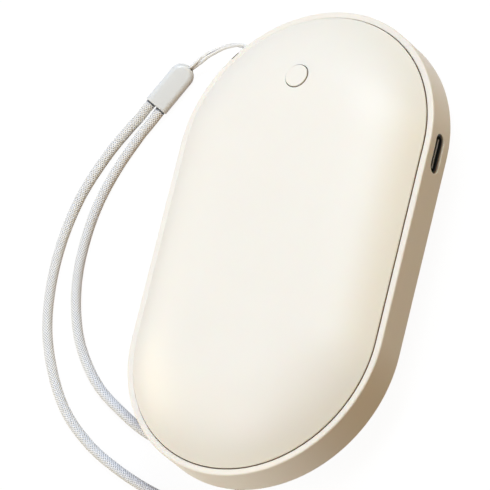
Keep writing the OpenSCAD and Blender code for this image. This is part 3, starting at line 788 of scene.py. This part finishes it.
def at_anchor(distance, turn=0.0):
    """Places a thing at a distance from the top end's middle, at the anchor's angle."""
    return (Matrix.Translation((0, STRAIGHT * MM, 0)) @ Matrix.Rotation(ANCHOR_TURN + turn, 4, "Z")
            @ Matrix.Translation((distance * MM, 0, 0)))


ANCHOR_TURN = math.atan2(PIN_AT.y - STRAIGHT, PIN_AT.x)
ANCHOR_ALONG = STRAIGHT + BODY_R * ANCHOR_TURN
POCKET_DEPTH = BODY_R - LEDGE_R - POCKET_BACK
# How far the cutters run past what they cut, and the short side left between the port's two round ends
OVERRUN = 1
ENDS_APART = 0.001


def frame_cutters():
    cutters = [
        wall_cutter(PORT_Y, PORT_W / 2, PORT_H / 2, PORT_H / 2 - ENDS_APART, PORT_ROUND, PORT_DEPTH),
        wall_cutter(ANCHOR_ALONG, POCKET_W / 2, POCKET_H / 2, POCKET_CORNER, POCKET_ROUND, POCKET_DEPTH),
        block_cutter((LEDGE_R - OVERRUN, PORT_Y - PORT_ROOM_W / 2, LEDGE_LOW - OVERRUN),
                     (SEAM_R, PORT_Y + PORT_ROOM_W / 2, MID_Z + PORT_ROOM_H / 2)),
        block_cutter((-NOTCH_D, -NOTCH_W / 2, MID_Z), (-NOTCH_LIP, NOTCH_W / 2, frame_high.z + OVERRUN),
                     at_anchor(BODY_R, NOTCH_TURN)),
    ]
    for side in (-1, 1):
        for y in [clip_y(place) for place in LUG_PLACES]:
            low_y, high_y = y - CLIP_L / 2 - SLIDE_GAP, y + CLIP_L / 2 + SLIDE_GAP
            cutters.append(block_cutter((side * (LEDGE_R - OVERRUN), low_y, LEDGE_TOP - LUG_H),
                                        (side * (LUG_END + SLIDE_GAP), high_y, LEDGE_TOP + OVERRUN)))
    return cutters


# Depths inside the port's opening and how much painted shade its walls get beyond them
PORT_SHADES = ((0.1, 0.4), (0.24, 0.75), (0.45, 1))
# How near a face's middle must be to count as in the notch, and its largest area there
NOTCH_EDGE = 0.03
NOTCH_FACE = 9


def port_shade(x, y, z):
    """How much painted shade a place in the port's opening gets, from 0 at its lip or anywhere else."""
    half_w, half_h = PORT_W / 2 + PORT_ROUND, PORT_H / 2 + PORT_ROUND
    in_port = x > 0 and abs(y - PORT_Y) < half_w and abs(z - MID_Z) < half_h
    depth = BODY_R - off_middle(x, y)
    return max([0] + [share for limit, share in PORT_SHADES if in_port and depth > limit])


def in_notch(x, y, z):
    """Whether a place, seen from the anchor, lies on the threading notch's walls."""
    across = -NOTCH_D - NOTCH_EDGE < x < NOTCH_EDGE - NOTCH_LIP and abs(y) < NOTCH_W / 2 + NOTCH_EDGE
    return across and MID_Z - NOTCH_EDGE < z < frame_high.z - NOTCH_EDGE


def paint_opening_shade(mesh):
    """Marks the faces that get painted shade: those in the port's opening, more and more from its lip
    inward, and those of the threading notch."""
    into_anchor = at_anchor(BODY_R, NOTCH_TURN).inverted()
    values = []
    for face in mesh.polygons:
        value = port_shade(*face.center / MM)
        if in_notch(*into_anchor @ face.center / MM) and face.area < NOTCH_FACE * MM * MM:
            value = 1.0
        values.append(value)
    mark(mesh, "FACE", values)


# How much the large faces lead where the band's shading is evened out; 50 is neutral
EVEN_WEIGHT = 80

frame_mesh = cut(swept("mid_frame_band", frame_section()), frame_cutters())
paint_opening_shade(frame_mesh)
smooth(frame_mesh)
band = piece("mid_frame_band", frame_mesh, "case", ["mid_frame"], "rim")
even = band.modifiers.new("even_shading", "WEIGHTED_NORMAL")
even.keep_sharp = True
even.weight = EVEN_WEIGHT


# The charging socket's tongue, with the edge of the steel plate inside it across its front
TONGUE_W = 6.7
TONGUE_H = 0.7
TONGUE_L = 5.6
TONGUE_BASE = 1.2
TONGUE_FRONT = 0.05
PLATE_T = 0.2
SOCKET_WALL = 0.3
# The least share of a face's normal along +X where it faces out of the port
FACING_OUT = 0.9


def tongue_mesh():
    front = socket_high.x - TONGUE_FRONT
    root = front - TONGUE_L - TONGUE_BASE
    corners = [(root + TONGUE_BASE / 2, -TONGUE_W / 2), (front, -TONGUE_W / 2), (front, TONGUE_W / 2),
               (root + TONGUE_BASE / 2, TONGUE_W / 2)]
    levels = (-TONGUE_H / 2, -PLATE_T / 2, PLATE_T / 2, TONGUE_H / 2)
    bar = capped([[(x, PORT_Y + y, MID_Z + z) for x, y in corners] for z in levels])
    half_w = (socket_high.y - socket_low.y) / 2 - SOCKET_WALL
    half_h = (socket_high.z - socket_low.z) / 2 - SOCKET_WALL
    ring = rounded_rectangle(half_w, half_h, half_h)
    base = capped([[(root + x, PORT_Y + y, MID_Z + z) for y, z in ring] for x in (0, TONGUE_BASE)])
    bm = bmesh.new()
    bm.from_mesh(bar)
    bm.from_mesh(base)
    mesh = mesh_from(bm, "port_tongue")
    values = []
    for face in mesh.polygons:
        is_plate = face.normal.x > FACING_OUT and abs(face.center.z / MM - MID_Z) < PLATE_T / 2
        values.append(1.0 if is_plate and face.center.x / MM > front - TONGUE_FRONT else 0.0)
    mark(mesh, "FACE", values)
    return mesh


piece("port_tongue", tongue_mesh(), "case", ["socket_tongue"], "tongue_plastic")


# The strap's connector, which leans over on one of its long edges
CONNECTOR_L = 11.5
CONNECTOR_W = 5.5
CONNECTOR_T = 3.3
CONNECTOR_EDGE = 1.25
CONNECTOR_TURN = math.radians(58.4)
CONNECTOR_ROLL = math.radians(35)
CONNECTOR_LIFT = (CONNECTOR_EDGE + (CONNECTOR_W / 2 - CONNECTOR_EDGE) * math.sin(CONNECTOR_ROLL)
                  + (CONNECTOR_T / 2 - CONNECTOR_EDGE) * math.cos(CONNECTOR_ROLL))
CONNECTOR_AT = Vector((-50.56, 38.54, CONNECTOR_LIFT))
CONNECTOR_LIP = 0.15
CORD_MOUTH_W = 5.0
CORD_MOUTH_H = 2.4
CORD_MOUTH_L = 4
CORD_MOUTH_FLARE = 0.08
STRING_TURN = math.radians(42)
STRING_BORE_D = 1.6
# Rings of the string's bore: distance from the middle of the tip, and growth at the flared end
STRING_BORE_RINGS = ((0.6, 0), (2.6, 0), (2.8, 0.1), (4, 0.1))
SECTION_STEPS = 8
TIP_STEPS = 28


def half_loop(half_w, half_h, edge):
    """Points down one side of a bar with round edges, from the top's middle to the bottom's."""
    flat, low = half_w - edge, half_h - edge
    return ([(0, half_h)] + arc(flat, low, edge, 90, 0, SECTION_STEPS)
            + arc(flat, -low, edge, 0, -90, SECTION_STEPS) + [(0, -half_h)])


def bar_loop(half_w, half_h, edge):
    """Points round the bar, starting at the top's middle."""
    side = half_loop(half_w, half_h, edge)
    return side + [(-y, z) for y, z in reversed(side[1:-1])]


def connector_mesh():
    """The connector along +X from its open end, with a round tip and a recess for the cord's ends."""
    half_w, half_t, edge = CONNECTOR_W / 2, CONNECTOR_T / 2, CONNECTOR_EDGE
    mouth_w, mouth_h = CORD_MOUTH_W / 2, CORD_MOUTH_H / 2
    tip_x = CONNECTOR_L - half_w
    lip, flare = CONNECTOR_LIP, CORD_MOUTH_FLARE
    rings = [(CORD_MOUTH_L, mouth_w, mouth_h, mouth_h), (lip, mouth_w, mouth_h, mouth_h),
             (0, mouth_w + flare, mouth_h + flare, mouth_h + flare)]
    for s, z in arc(0, 0, lip, 180, 90):
        rings.append((lip + s, half_w - lip + z, half_t - lip + z, edge - lip + z))
    rings.append((tip_x, half_w, half_t, edge))
    bm = bmesh.new()
    in_gap = bm.verts.layers.float.new("in_gap")
    rows = [new_row(bm, [(x, y, z) for y, z in bar_loop(w, h, r)]) for x, w, h, r in rings]
    # The walls of the mouth's recess are marked for painted shade
    recess = rows[0] + rows[1]
    for vert in recess:
        vert[in_gap] = 1.0
    for row, following in zip(rows, rows[1:]):
        bridge(bm, row, following)
    bm.faces.new(rows[0])
    side = half_loop(half_w, half_t, edge)
    tip = []
    for j in range(TIP_STEPS + 1):
        turn = math.pi * (0.5 - j / TIP_STEPS)
        tip.append(new_row(bm, [(tip_x + s * math.cos(turn), s * math.sin(turn), z) for s, z in side]))
    for row, following in zip(tip, tip[1:]):
        bridge(bm, row, following, closed=False)
    bmesh.ops.remove_doubles(bm, verts=bm.verts, dist=SAME_POINT * MM)
    bmesh.ops.recalc_face_normals(bm, faces=bm.faces)
    return mesh_from(bm, "connector_body")


CONNECTOR_PLACE = (Matrix.Translation(CONNECTOR_AT * MM) @ Matrix.Rotation(CONNECTOR_TURN, 4, "Z")
                   @ Matrix.Rotation(CONNECTOR_ROLL, 4, "X"))


def string_bore():
    """A round cutter that runs out of the connector's tip, level with the floor."""
    rows = []
    for reach, grow in STRING_BORE_RINGS:
        radius = STRING_BORE_D / 2 + grow
        rows.append([(reach, y, z) for y, z in rounded_rectangle(radius, radius, radius)])
    mesh = capped(rows)
    tip = CONNECTOR_PLACE @ Vector(((CONNECTOR_L - CONNECTOR_W / 2) * MM, 0, 0))
    mesh.transform(Matrix.Translation(tip) @ Matrix.Rotation(STRING_TURN, 4, "Z"))
    return mesh


connector_body = connector_mesh()
connector_body.transform(CONNECTOR_PLACE)
connector_body = cut(connector_body, [string_bore()])
smooth(connector_body)
connector = piece("connector_body", connector_body, "case", ["strap_connector"], "connector")


# Cords. Their routes are those of the frame's solids, in metres
WRIST_ROUTE = [
    (-0.04942, 0.04242, 0.00318), (-0.05147, 0.0391, 0.00318), (-0.0526, 0.0376, 0.003),
    (-0.0544, 0.0358, 0.0022), (-0.057, 0.0333, 0.0014), (-0.061, 0.027, 0.0012),
    (-0.065, 0.0175, 0.0012), (-0.067, 0.007, 0.0012), (-0.067, -0.004, 0.0012),
    (-0.065, -0.015, 0.0012), (-0.0605, -0.0255, 0.0012), (-0.0545, -0.0345, 0.0012),
    (-0.0465, -0.0419, 0.0012), (-0.038, -0.0473, 0.0012), (-0.0293, -0.0516, 0.0012),
    (-0.0205, -0.0549, 0.0012), (-0.013, -0.0564, 0.0012), (-0.007, -0.0548, 0.0012),
    (-0.0054, -0.0508, 0.0012), (-0.0088, -0.0472, 0.0012), (-0.0162, -0.0449, 0.0012),
    (-0.024, -0.042, 0.0012), (-0.0325, -0.0388, 0.0012), (-0.0402, -0.0341, 0.0012),
    (-0.0478, -0.0282, 0.0012), (-0.054, -0.0205, 0.0012), (-0.058, -0.0125, 0.0012),
    (-0.0605, -0.003, 0.0012), (-0.061, 0.0065, 0.0012), (-0.06, 0.0155, 0.0012),
    (-0.0574, 0.024, 0.0012), (-0.054, 0.0313, 0.0012), (-0.0523, 0.0341, 0.0013),
    (-0.0508, 0.0361, 0.0016), (-0.04965, 0.03798, 0.00169), (-0.04761, 0.0413, 0.00169),
]
STRING_ROUTE = [
    (-0.04546, 0.04646, 0.00204), (-0.04375, 0.048, 0.00204), (-0.0416, 0.0493, 0.0025),
    (-0.0389, 0.05, 0.0041), (-0.0363, 0.0504, 0.0054), (-0.0335, 0.0506, 0.0069),
    (-0.0305, 0.0503, 0.0086), (-0.0272, 0.0497, 0.0105), (-0.025, 0.049, 0.0116),
    (-0.0232, 0.0477, 0.0125), (-0.0215, 0.0461, 0.013), (-0.0197, 0.0443, 0.013),
    (-0.0193, 0.0433, 0.013), (-0.0197, 0.0423, 0.013), (-0.0207, 0.0419, 0.013),
    (-0.0217, 0.0423, 0.013), (-0.0234, 0.0441, 0.013), (-0.0243, 0.0458, 0.0127),
    (-0.0254, 0.0478, 0.0115), (-0.027, 0.0495, 0.0098), (-0.0302, 0.051, 0.0079),
    (-0.0332, 0.0516, 0.0063), (-0.0361, 0.0515, 0.0049), (-0.0387, 0.0512, 0.0039),
    (-0.041, 0.0503, 0.0034), (-0.04375, 0.048, 0.00284), (-0.04546, 0.04646, 0.00284),
]


def on_route(route, u):
    """A point on the smooth curve through a route; whole numbers are the route's own points."""
    last = len(route) - 1
    i = min(int(u), last - 1)
    t = u - i
    a, b, c, d = (Vector(route[k]) for k in (max(i - 1, 0), i, i + 1, min(i + 2, last)))
    second, third = 2 * a - 5 * b + 4 * c - d, 3 * b - a - 3 * c + d
    return 0.5 * (2 * b + (c - a) * t + second * t * t + third * t ** 3)


# Steps between two of a route's own points where its length is measured
FINE_STEPS = 40


def even_path(route, step):
    """Points along a route, a step apart, and its length."""
    fine = [on_route(route, k / FINE_STEPS) for k in range(FINE_STEPS * (len(route) - 1) + 1)]
    marks = [0.0]
    for a, b in zip(fine, fine[1:]):
        marks.append(marks[-1] + (b - a).length)
    length = marks[-1]
    count = round(length / step)
    path, k = [], 0
    for n in range(count + 1):
        want = length * n / count
        while k < len(marks) - 2 and marks[k + 1] < want:
            k += 1
        share = (want - marks[k]) / (marks[k + 1] - marks[k])
        path.append(fine[k].lerp(fine[k + 1], share))
    return path, length


def frames_along(path):
    """For each point, two directions square to the path that don't spin round it."""
    last = len(path) - 1
    tangents = [(path[min(k + 1, last)] - path[max(k - 1, 0)]).normalized() for k in range(len(path))]
    side = tangents[0].cross(Vector((0, 0, 1))).normalized()
    sides = []
    for tangent in tangents:
        side = (side - tangent * side.dot(tangent)).normalized()
        sides.append((side, tangent.cross(side)))
    return sides


# How far a strand of the braid rises where it crosses over another, as a share of its own height
CROSSING = 0.5


def braid_height(turn, along, strands, pitch):
    """Height of a braid of strands each way, from 0 in a gap to 1 on a strand that crosses over."""
    one = strands * turn + math.tau * along / pitch
    other = strands * turn - math.tau * along / pitch
    over = CROSSING * math.cos(one / 2) * math.cos(other / 2)
    heights = ((1 + math.cos(one)) / 2 + over, (1 + math.cos(other)) / 2 - over)
    return min(max(max(heights) / (1 + CROSSING), 0), 1)


def twist_height(turn, along, strands, pitch):
    """Height of a twist of strands, from 0 in a groove to 1 on a strand."""
    phase = (strands * turn + math.tau * along / pitch) % math.tau / math.tau
    return math.sin(math.pi * phase)


# How far out of the connector's mouth the cord gets painted shade, as though it lay in the mouth's gap
MOUTH_GAP = 0.4


def in_mouth(point):
    """Whether a point lies in the connector's mouth or in the gap just outside it."""
    return (CONNECTOR_PLACE.inverted() @ point).x > -MOUTH_GAP * MM


def woven_tube(name, route, diameter, depth, height, strands, pitch, sides, step, painted_shade_at=None):
    """A tube along a route whose surface is drawn in by up to depth, in millimetres, between strands.
    Where the last argument is true of a point, the point is marked as a gap, which paints shade on it."""
    path, length = even_path(route, step * MM)
    rows, heights = [], []
    for k, (point, (side, lift)) in enumerate(zip(path, frames_along(path))):
        row = []
        for j in range(sides):
            turn = math.tau * j / sides
            share = height(turn, length * k / (len(path) - 1) / MM, strands, pitch)
            radius = diameter / 2 * MM - depth * MM * (1 - share)
            spot = point + (side * math.cos(turn) + lift * math.sin(turn)) * radius
            row.append(spot / MM)
            heights.append(0.0 if painted_shade_at and painted_shade_at(spot) else share)
        rows.append(row)
    mesh = capped(rows, name)
    mark(mesh, "POINT", heights, "strand_height")
    mesh.shade_smooth()
    return mesh, path, length


string_mesh, string_path, string_length = woven_tube(
    "string_loop", STRING_ROUTE, STRING_D, depth=0.012, height=twist_height, strands=3, pitch=2.4, sides=24,
    step=0.12)
string = piece("string_loop", string_mesh, "case", ["lanyard_string"], "string")

cord_mesh, cord_path, cord_length = woven_tube(
    "braided_cord", WRIST_ROUTE, CORD_D, depth=0.12, height=braid_height, strands=12, pitch=0.7, sides=96,
    step=0.1, painted_shade_at=in_mouth)
cord = piece("braided_cord", cord_mesh, "case", ["wrist_cord"], "cord")


# The floor, plain and white where it is seen, with the object's shadow on it, and darker to the light
# that it sends back
FLOOR_SIZE = 4000
FLOOR_SHADOW = 0.08
FLOOR_WHITE = 1.03
FLOOR_BOUNCE = (0.22, 0.13, 0.12)


def seen_rays(owner):
    """1 for the rays that show a background: from the camera, or by way of gloss or glass."""
    rays = add_node(owner, "ShaderNodeLightPath").outputs
    pick = rays["Is Camera Ray"]
    for ray in ("Is Glossy Ray", "Is Transmission Ray"):
        pick = add_node(owner, "ShaderNodeMath", {0: pick, 1: rays[ray]}, operation="MAXIMUM").outputs[0]
    return pick


def make_floor():
    mesh = bpy.data.meshes.new("floor")
    half = FLOOR_SIZE / 2 * MM
    corners = [(-half, -half, 0), (half, -half, 0), (half, half, 0), (-half, half, 0)]
    mesh.from_pydata(corners, [], [(0, 1, 2, 3)])
    floor = bpy.data.objects.new("floor", mesh)
    scene.collection.objects.link(floor)
    mat = bpy.data.materials.new("pale_floor")
    mat.use_nodes = True
    mat.node_tree.nodes.clear()
    bounce = add_node(mat, "ShaderNodeBsdfDiffuse", {"Color": (*FLOOR_BOUNCE, 1)})
    lit = add_node(mat, "ShaderNodeBsdfDiffuse", {"Color": (1, 1, 1, 1)})
    white = add_node(mat, "ShaderNodeEmission", {"Strength": FLOOR_WHITE})
    pale = blend_shaders(mat, FLOOR_SHADOW, white, lit)
    both = blend_shaders(mat, seen_rays(mat), bounce, pale)
    add_node(mat, "ShaderNodeOutputMaterial", {"Surface": both.outputs[0]})
    mesh.materials.append(mat)


# Square lamps that face the origin: name, place in millimetres, strength in watts, colour
LAMP_SIZE = 600
LAMPS = [
    ("right_side", (850, 490, 690), 3.6, (1, 0.65, 0)),
    ("top_side", (345, 595, 985), 7.6, (0.8, 0.92, 1)),
    ("top_end", (0, 690, 985), 4.6, (0.8, 0.86, 1)),
    ("near_left", (-345, -595, 985), 4.1, (0.87, 0.83, 1)),
    ("low_left", (-1160, 0, 310), 4.2, (1, 0.85, 0.52)),
    ("low_near_left", (-580, -1005, 310), 2.9, (0.92, 1, 0.77)),
    ("low_near", (0, -1160, 310), 3.4, (1, 0.82, 0.45)),
]


def make_lamps():
    for name, place, watts, color in LAMPS:
        data = bpy.data.lights.new(name, "AREA")
        data.size = LAMP_SIZE * MM
        data.energy = watts
        data.color = color
        lamp = bpy.data.objects.new(name, data)
        lamp.location = Vector(place) * MM
        lamp.rotation_mode = "QUATERNION"
        lamp.rotation_quaternion = (-Vector(place)).to_track_quat("-Z", "Y")
        scene.collection.objects.link(lamp)


def make_world():
    """Surroundings that send no light, and are white where the camera, gloss or glass shows them."""
    world = bpy.data.worlds.new("world")
    scene.world = world
    world.use_nodes = True
    world.node_tree.nodes.clear()
    dark = add_node(world, "ShaderNodeBackground", {"Color": (0, 0, 0, 1)})
    white = add_node(world, "ShaderNodeBackground", {"Color": (1, 1, 1, 1)})
    both = blend_shaders(world, seen_rays(world), dark, white)
    add_node(world, "ShaderNodeOutputWorld", {"Surface": both.outputs[0]})


make_floor()
make_lamps()
make_world()
